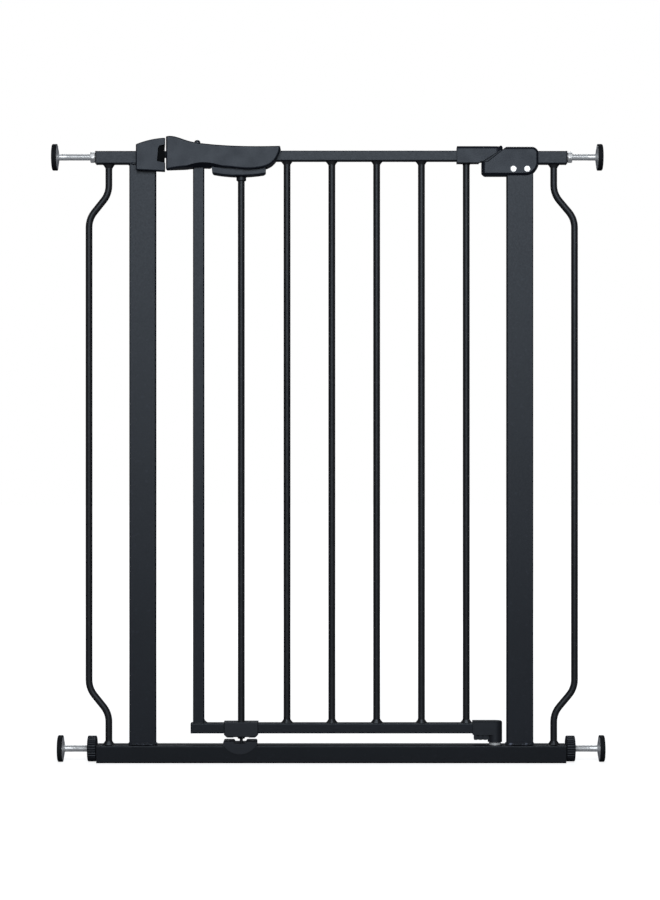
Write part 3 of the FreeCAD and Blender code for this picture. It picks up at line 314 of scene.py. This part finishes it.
def metal(name, tone, rough, spangle):
    """Plated steel: blotchy plating, fine scratches and small stains."""
    s = Shader(name, metallic=0.40, tint=(1.0, 1.0, 1.0))
    patch = s.noise(spangle, 3.0)
    stain = s.spread(s.noise(95.0, 5.0), 0.0, 0.45, 0.60, 0.80)
    base = s.ramp(patch, [(0.30, shade(tone, 0.90)), (0.55, tone), (0.75, shade(tone, 1.06))])
    colour = s.blend(stain, base, shade(tone, 0.72))
    s.bump(s.noise(spangle * 4.0, 2.0), 0.18, 0.00003)
    return s.done(colour, s.spread(s.noise(spangle * 1.6, 3.0), rough[0], rough[1]))


MATERIALS = {
    "powder_coat": powder_coat(),
    "housing_plastic": moulded("moulded_charcoal", (0.0125, 0.0150, 0.0230),
                               rough=(0.36, 0.46), grain=1500.0, specular=0.52),
    "black_plastic": moulded("moulded_black", (0.0100, 0.0110, 0.0145),
                             rough=(0.40, 0.50), grain=1800.0, specular=0.42),
    "zinc": metal("zinc_plate", (0.98, 0.99, 1.00), rough=(0.26, 0.34), spangle=300.0),
    "bright_steel": metal("bright_plate", (1.00, 1.00, 1.00), rough=(0.20, 0.28), spangle=240.0),
    "spring_steel": metal("drawn_wire", (0.48, 0.49, 0.52), rough=(0.30, 0.42), spangle=500.0),
    "rubber": rubber_material(),
}
# Strike insert: black, and made darker and duller than any plastic so that it also stands for the
# shade in its pocket: partly its own black, partly painted shade.
STRIKE_BLACK_AND_SHADE = moulded("strike_black_and_painted_shade", (0.0022, 0.0022, 0.0026),
                       rough=(0.60, 0.72), grain=1400.0, specular=0.10)
LATCH_GREY = moulded("moulded_dark_grey", (0.0220, 0.0235, 0.0290),
                     rough=(0.40, 0.50), grain=1600.0, specular=0.48)
# A paler, neutral copy of the powder coat for the round bars, rods and their weld collars:
# painted light, standing in for the light on their fronts.
BAR_COAT_PAINTED_LIGHT = powder_coat("powder_coat_bar_painted_light", (0.0205, 0.0205, 0.0220))
# A darker, less glossy copy of the powder coat for the bottom rail: painted shade, as the rail is
# lit less at the foot of the gate.
RAIL_COAT_PAINTED_SHADE = powder_coat("powder_coat_rail_painted_shade", (0.0070, 0.0078, 0.0105), specular=0.40)
WELD_COAT = powder_coat("powder_coat_weld", (0.013, 0.0145, 0.019), scuffs=0.50, rub=16.0)
NODE_MATERIALS = {
    "strike_insert": STRIKE_BLACK_AND_SHADE, "bottom_rail": RAIL_COAT_PAINTED_SHADE,
    "latch_guide": LATCH_GREY, "latch_receiver": LATCH_GREY,
    "lower_hinge_block": LATCH_GREY, "rod_collar": LATCH_GREY,
    "left_side_rod": BAR_COAT_PAINTED_LIGHT, "right_side_rod": BAR_COAT_PAINTED_LIGHT, "lock_rod": BAR_COAT_PAINTED_LIGHT,
}


def paint_cad_nodes():
    """Gives every CAD node the detailed material of its slot, or its own."""
    for name, node in NODES.items():
        own = BAR_COAT_PAINTED_LIGHT if name.startswith("door_bar") else NODE_MATERIALS.get(name)
        for material_slot in node.material_slots:
            material_slot.material = own or MATERIALS[material_slot.material.name.split(".")[0]]


# ---------------------------------------------------------------- wall fixings

def side_of(name):
    return -1 if name.startswith("left") else 1


def outer_x(node, side):
    """How far out a node reaches on its side."""
    low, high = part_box(node)
    return high.x if side > 0 else -low.x


def inner_x(node, side):
    low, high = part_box(node)
    return low.x if side > 0 else -high.x


def axis_height(node):
    low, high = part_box(node)
    return (low.z + high.z) / 2


def spindle(corner):
    """A domed plate welded to a plain shank, then a rolled thread to a chamfered end."""
    node = corner + "_spindle"
    side = side_of(corner)
    origin = outer_x(node, side)
    length = origin - inner_x(node, side)
    rim = 0.35 * MM
    neck_r = SPINDLE_R + NECK_FILLET
    profile = [(0.0, 0.0), (0.0, PLATE_R - rim), (rim, PLATE_R), (PLATE_T - rim, PLATE_R)]
    steps = 8
    for i in range(steps + 1):
        t = i / steps
        radius = PLATE_R - rim - (PLATE_R - rim - neck_r) * t
        profile.append((PLATE_T + PLATE_DOME * math.sin(t * math.pi / 2), radius))
    neck = PLATE_T + PLATE_DOME
    profile += arc(neck + NECK_FILLET, neck_r, NECK_FILLET, 180, 270, 5)[1:]
    start = neck + SHANK_LENGTH
    end = length - END_CHAMFER
    turns = (end - start) / THREAD_PITCH
    count = round(turns * THREAD_STEPS)
    for i in range(count + 1):
        profile.append((start + (end - start) * i / count, SPINDLE_R))
    profile += [(length, SPINDLE_R - END_CHAMFER), (length, 0.0)]

    def thread(along, angle, radius):
        if along < start or along > end:
            return radius
        phase = (along / THREAD_PITCH + side * angle / TAU) % 1.0
        fade = min(1.0, (along - start) / (2 * THREAD_PITCH))
        groove = max(0.0, math.cos(TAU * (phase - 0.5))) ** 0.8
        return radius - THREAD_DEPTH * groove * fade

    mesh = bmesh.new()
    place = on_axis(origin, side, axis_height(node))
    turn(mesh, profile, 28, place, thread)
    finish_mesh(corner + "_threaded_spindle", mesh, corner + "_foot",
                MATERIALS["zinc"], [node])


def pad(corner):
    """A rubber cup: ribbed wall face, rounded rim, and a pocket that holds the plate."""
    node = corner + "_pad"
    side = side_of(corner)
    low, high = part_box(node)
    radius = (high.z - low.z) / 2
    thick = high.x - low.x
    edge = 1.5 * MM
    lip = 0.6 * MM
    slant = 0.35 * MM
    ease = 0.12 * MM
    soft = 0.2 * MM
    rib_width = PAD_RIB_PITCH / 2
    profile = [(PAD_RIB_DEPTH, 0.0)]
    r = PAD_FIRST_RIB_R
    while r + rib_width < radius - edge:
        stop = r + rib_width
        profile += [(PAD_RIB_DEPTH, r - slant), (ease, r), (0.0, r + soft),
                    (0.0, stop - soft), (ease, stop), (PAD_RIB_DEPTH, stop + slant)]
        r += PAD_RIB_PITCH
    profile += arc(edge + PAD_RIB_DEPTH * 0.3, radius - edge, edge, 180, 90, 6)
    profile += [(thick * 0.48, radius), (thick * 0.50, radius - PAD_PARTING_LINE),
                (thick * 0.52, radius)]
    profile += arc(thick - lip, radius - lip, lip, 90, 0, 5)
    pocket = PLATE_R + 0.05 * MM
    profile += [(thick, pocket + soft), (thick - soft, pocket),
                (thick - PLATE_T, pocket), (thick - PLATE_T, 0.0)]
    mesh = bmesh.new()
    turn(mesh, profile, 72, on_axis(outer_x(node, side), side, axis_height(node)))
    finish_mesh(corner + "_ribbed_pad", mesh, corner + "_foot",
                MATERIALS["rubber"], [node])


def hand_wheel(side_name):
    """A fluted wheel with rounded rims and a dished face round its hub."""
    node = side_name + "_hand_wheel"
    side = side_of(side_name)
    low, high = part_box(node)
    radius = (high.z - low.z) / 2
    width = high.x - low.x
    rim = 1.2 * MM
    hub = 7.0 * MM
    dish = 0.9 * MM
    slope = 0.7 * MM
    ledge = radius - 2.9 * MM
    grip = radius - 2.0 * MM
    profile = [(0.0, WHEEL_BORE_R), (0.0, hub), (dish, hub + slope),
               (dish, ledge - slope), (0.0, ledge)]
    profile += arc(rim, radius - rim, rim, 180, 90, 5)
    profile += [(width * 0.3, radius), (width * 0.5, radius), (width * 0.7, radius)]
    profile += arc(width - rim, radius - rim, rim, 90, 0, 5)
    profile += [(width, ledge), (width - dish, ledge - slope),
                (width - dish, hub + slope), (width, hub), (width, WHEEL_BORE_R)]

    def flute(along, angle, r):
        if r < grip:
            return r
        wave = math.cos(WHEEL_FLUTES * angle)
        return r - WHEEL_FLUTE_DEPTH * max(0.0, wave) ** 1.5

    mesh = bmesh.new()
    place = on_axis(outer_x(node, side), side, axis_height(node))
    turn(mesh, profile, WHEEL_FLUTES * 10, place, flute, bored=True)
    finish_mesh(side_name + "_fluted_wheel", mesh, node,
                MATERIALS["black_plastic"], [node])


def nut(side_name):
    """A hexagon nut, chamfered both ends, with a thin washer face against the arm."""
    node = side_name + "_nut"
    side = side_of(side_name)
    low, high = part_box(node)
    width = high.x - low.x
    corner_r = (high.z - low.z) / 2
    flat_r = NUT_ACROSS_FLATS / 2
    bevel = 0.75 * MM
    step = 0.5 * MM
    inlet = 0.5 * MM
    profile = [(inlet, NUT_BORE_R), (0.0, NUT_BORE_R + inlet), (0.0, flat_r - 0.5 * MM),
               (bevel * 0.5, flat_r + 0.2 * MM), (bevel, corner_r),
               (width * 0.45, corner_r), (width - step - bevel, corner_r),
               (width - step - bevel * 0.5, flat_r + 0.2 * MM),
               (width - step, flat_r - 0.2 * MM), (width, flat_r - 0.3 * MM),
               (width, NUT_BORE_R + inlet), (width - inlet, NUT_BORE_R)]

    def hexagon(along, angle, r):
        if r < flat_r - 0.1 * MM:
            return r
        turned = ((angle - NUT_TILT) % (TAU / 6)) - TAU / 12
        return min(r, flat_r / math.cos(turned))

    mesh = bmesh.new()
    place = on_axis(outer_x(node, side), side, axis_height(node))
    turn(mesh, profile, 96, place, hexagon, bored=True)
    finish_mesh(side_name + "_hex_nut", mesh, node,
                MATERIALS["bright_steel"], [node])


# ---------------------------------------------------------------- welds

def weld_collar(mesh, x, z, upwards, seed, rod_r, height):
    """Weld metal drawn up round a rod: a concave flare with a rippled skirt."""
    sign = 1 if upwards else -1
    rings = 9
    segments = 40
    slope = 1.3
    ripples = 9
    core_r = rod_r * 0.98
    made = []
    for i in range(rings + 1):
        t = i / rings
        flare = (1 - t) ** slope
        ring = []
        for k in range(segments):
            angle = TAU * k / segments
            lump = noise.noise(Vector((math.cos(angle) * 2, math.sin(angle) * 2, seed)))
            ripple = 1 + 0.10 * math.sin(ripples * angle + seed) + 0.30 * lump
            out_x = core_r + (COLLAR_HALF_X - rod_r) * flare * ripple
            out_y = core_r + (COLLAR_HALF_Y - rod_r) * flare * ripple
            rise = height * t * (1 + 0.25 * lump)
            ring.append(mesh.verts.new((x + out_x * math.cos(angle),
                                        out_y * math.sin(angle), z + sign * rise)))
        made.append(ring)
    for a, b in zip(made, made[1:]):
        for k in range(segments):
            n = (k + 1) % segments
            mesh.faces.new((a[k], a[n], b[n], b[k]))
    for ring, level in ((made[0], 0.0), (made[-1], height)):
        pole = mesh.verts.new((x, 0.0, z + sign * level))
        for k in range(segments):
            mesh.faces.new((ring[k], ring[(k + 1) % segments], pole))


def weld_bead(mesh, start, stop, seed, radius):
    """A bead laid along a joint: overlapping ripples with tapered ends."""
    start = Vector(start)
    run = Vector(stop) - start
    length = run.length
    along = run.normalized()
    side = along.cross(Vector((0, 0, 1)))
    step = 0.45 * MM
    count = max(6, round(length / step))
    segments = 14
    made = []
    for i in range(1, count):
        d = length * i / count
        ripple = abs(math.sin(math.pi * d / BEAD_RIPPLE))
        lump = noise.noise(Vector((d * 260.0, seed, 0.0)))
        taper = min(1.0, math.sqrt(min(d, length - d) / (1.6 * MM)))
        r = radius * taper * (0.80 + 0.16 * ripple + 0.22 * lump)
        wander = side * (0.25 * MM * noise.noise(Vector((d * 160.0, 0.0, seed))))
        ring = []
        for k in range(segments):
            angle = TAU * k / segments
            offset = side * math.cos(angle) + Vector((0, 0, 1)) * math.sin(angle)
            ring.append(mesh.verts.new(start + along * d + wander + offset * r))
        made.append(ring)
    for a, b in zip(made, made[1:]):
        for k in range(segments):
            n = (k + 1) % segments
            mesh.faces.new((a[k], a[n], b[n], b[k]))
    for ring, tip in ((made[0], start), (made[-1], start + run)):
        pole = mesh.verts.new(tip)
        for k in range(segments):
            mesh.faces.new((ring[k], ring[(k + 1) % segments], pole))


def weld_fillet(mesh, x, z, y_start, y_stop, seed):
    """A hollow fillet in the corner of a post and a rail, laid from front to back."""
    count = 26
    points = 7
    root = 0.4 * MM
    made = []
    for i in range(count + 1):
        y = y_start + (y_stop - y_start) * i / count
        lump = noise.noise(Vector((y * 260.0, seed, 0.0)))
        size = FILLET_LEG * (0.90 + 0.20 * lump + 0.08 * abs(math.sin(math.pi * y / BEAD_RIPPLE)))
        ring = [mesh.verts.new((x - root, y, z - root))]
        for k in range(points + 1):
            t = k / points
            out = size * t ** FILLET_HOLLOW
            up = size * (1 - t) ** FILLET_HOLLOW
            ring.append(mesh.verts.new((x + out, y, z + up)))
        made.append(ring)
    for a, b in zip(made, made[1:]):
        for k in range(len(a)):
            n = (k + 1) % len(a)
            mesh.faces.new((a[k], a[n], b[n], b[k]))
    for ring in (made[0], made[-1]):
        mesh.faces.new(ring)


def middle_x(node):
    low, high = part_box(node)
    return (low.x + high.x) / 2


def frame_welds():
    """Collars at both ends of the side rods, beads round the feet and tops of the posts, and
    a short slanting bead at each post's outer top corners."""
    collars = bmesh.new()
    beads = bmesh.new()
    rail_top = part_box("bottom_rail")[1].z
    arm_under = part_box("left_top_arm")[0].z
    inset = 2 * MM
    seed = FRAME_SEED
    for side_name in ("left", "right"):
        side = side_of(side_name)
        low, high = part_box(side_name + "_side_rod")
        end_x = side * (min(abs(low.x), abs(high.x)) + ROD_R)
        for z, upwards in ((rail_top, True), (arm_under, False)):
            weld_collar(collars, end_x, z, upwards, seed, ROD_R, ROD_COLLAR_HEIGHT)
            seed += FRAME_SEED_STEP
        low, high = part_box(side_name + "_upright")
        for z in (rail_top + BEAD_LIFT, arm_under):
            for y in (low.y, high.y):
                weld_bead(beads, (low.x + inset, y, z), (high.x - inset, y, z), seed, BEAD_R)
                seed += FRAME_SEED_STEP
            for x in (low.x, high.x):
                weld_bead(beads, (x, low.y + inset, z), (x, high.y - inset, z), seed, BEAD_R)
                seed += FRAME_SEED_STEP
        corner_x = high.x if side > 0 else low.x
        for y in (low.y, high.y):
            weld_bead(beads, (corner_x, y, arm_under - CORNER_BEAD_DOWN),
                      (corner_x - side * CORNER_BEAD_IN, y, arm_under + CORNER_BEAD_UP),
                      seed, CORNER_BEAD_R)
            seed += FRAME_SEED_STEP
    finish_mesh("frame_weld_metal", collars, "frame", BAR_COAT_PAINTED_LIGHT,
                ["frame_weld_beads"])
    finish_mesh("post_weld_metal", beads, "frame", WELD_COAT)


def door_welds():
    """Collars at both ends of each bar, small beads where the stile meets the rails, and a
    hollow fillet at the stile's foot."""
    mesh = bmesh.new()
    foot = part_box("door_bottom_rail")[1].z
    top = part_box("door_top_rail")[0].z
    seed = DOOR_SEED
    for number in range(1, 6):
        x = middle_x("door_bar_" + str(number))
        for z, upwards in ((foot, True), (top, False)):
            weld_collar(mesh, x, z, upwards, seed, BAR_R, BAR_COLLAR_HEIGHT)
            seed += DOOR_SEED_STEP
    low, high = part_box("door_stile")
    for z in (foot, top):
        for y in (low.y, high.y):
            weld_bead(mesh, (low.x + 2 * MM, y, z), (high.x - 1 * MM, y, z), seed, STILE_BEAD_R)
            seed += DOOR_SEED_STEP
    inset = 1.2 * MM
    weld_fillet(mesh, high.x, foot, low.y + inset, high.y - inset, seed)
    finish_mesh("door_weld_metal", mesh, "door", BAR_COAT_PAINTED_LIGHT,
                ["door_weld_beads"])


# ---------------------------------------------------------------- studio

def add_camera():
    """The camera looks straight along +Y."""
    data = bpy.data.cameras.new("camera")
    data.lens = CAMERA_LENS
    data.sensor_width = CAMERA_SENSOR
    data.clip_end = 100.0
    camera = bpy.data.objects.new("camera", data)
    camera.location = (CAMERA_X, -CAMERA_DISTANCE, CAMERA_HEIGHT)
    camera.rotation_euler = (math.pi / 2, 0.0, 0.0)
    bpy.context.scene.collection.objects.link(camera)
    bpy.context.scene.camera = camera


def add_softbox(name, place, target, width, height, power):
    """A rectangular area light, aimed at a point."""
    data = bpy.data.lights.new(name, "AREA")
    data.shape = "RECTANGLE"
    data.size = width
    data.size_y = height
    data.energy = power
    data.color = (0.93, 0.97, 1.0)
    light = bpy.data.objects.new(name, data)
    light.location = place
    aim = Vector(target) - Vector(place)
    light.rotation_euler = aim.to_track_quat("-Z", "Y").to_euler()
    bpy.context.scene.collection.objects.link(light)


def add_floor():
    """A wide round floor in pale paint with a painted glow, stronger far away than at the gate,
    so that it fades into the white room behind it.
    """
    mesh = bmesh.new()
    bmesh.ops.create_circle(mesh, cap_ends=True, segments=96, radius=FLOOR_RADIUS)
    data = bpy.data.meshes.new("studio_floor")
    mesh.to_mesh(data)
    mesh.free()
    floor = bpy.data.objects.new("studio_floor", data)
    bpy.context.scene.collection.objects.link(floor)
    s = Shader("floor_paint_and_glow", metallic=0.0, specular=0.2)
    pale = (0.86, 0.86, 0.86)
    colour = s.ramp(s.noise(1.5, 3.0), [(0.3, shade(pale, 0.99)), (0.7, pale)])
    # Painted glow: the floor emits light of its own, from GLOW_NEAR at the gate up to GLOW_FAR
    # far away.
    s.bsdf.inputs["Emission Color"].default_value = (1.0, 1.0, 1.0, 1.0)
    reach = s.nodes.new("ShaderNodeTexGradient")
    reach.gradient_type = "SPHERICAL"
    s.links.new(s.stretched((GLOW_REACH, GLOW_REACH, GLOW_REACH)), reach.inputs["Vector"])
    glow = s.spread(reach.outputs["Fac"], GLOW_FAR, GLOW_NEAR, 0.0, 0.85)
    s.links.new(glow, s.bsdf.inputs["Emission Strength"])
    data.materials.append(s.done(colour, s.spread(s.noise(4.0, 2.0), 0.75, 0.85)))
    floor.visible_diffuse = False
    floor.visible_glossy = False


def add_world():
    """A white room to the eye; dim to the object, so that tubes keep dark edges."""
    world = bpy.data.worlds.new("studio")
    bpy.context.scene.world = world
    world.use_nodes = True
    nodes = world.node_tree.nodes
    links = world.node_tree.links
    room = nodes["Background"]
    room.inputs["Color"].default_value = (0.80, 0.86, 1.0, 1.0)
    room.inputs["Strength"].default_value = 0.06
    white = nodes.new("ShaderNodeBackground")
    white.inputs["Color"].default_value = (1.0, 1.0, 1.0, 1.0)
    white.inputs["Strength"].default_value = 1.0
    path = nodes.new("ShaderNodeLightPath")
    choose = nodes.new("ShaderNodeMixShader")
    links.new(path.outputs["Is Camera Ray"], choose.inputs["Fac"])
    links.new(room.outputs["Background"], choose.inputs[1])
    links.new(white.outputs["Background"], choose.inputs[2])
    links.new(choose.outputs["Shader"], nodes["World Output"].inputs["Surface"])


def add_studio():
    add_floor()
    add_world()
    add_softbox("key", place=(0.0, -3.3, 2.3), target=(0.0, 0.0, 0.6),
                width=2.2, height=1.0, power=23.0)
    add_softbox("front_card", place=(0.0, -4.3, 1.8), target=(0.0, 0.0, 0.5),
                width=3.6, height=2.6, power=72.0)
    add_softbox("back_fill", place=(0.0, 2.2, 2.2), target=(0.0, 0.0, 0.4),
                width=1.6, height=0.8, power=12.0)
    bpy.context.scene.view_settings.view_transform = "Standard"


# ---------------------------------------------------------------- scene

add_camera()
add_studio()
paint_cad_nodes()
for corner in ("left_upper", "left_lower", "right_upper", "right_lower"):
    spindle(corner)
    pad(corner)
for side_name in ("left", "right"):
    hand_wheel(side_name)
    nut(side_name)
frame_welds()
door_welds()
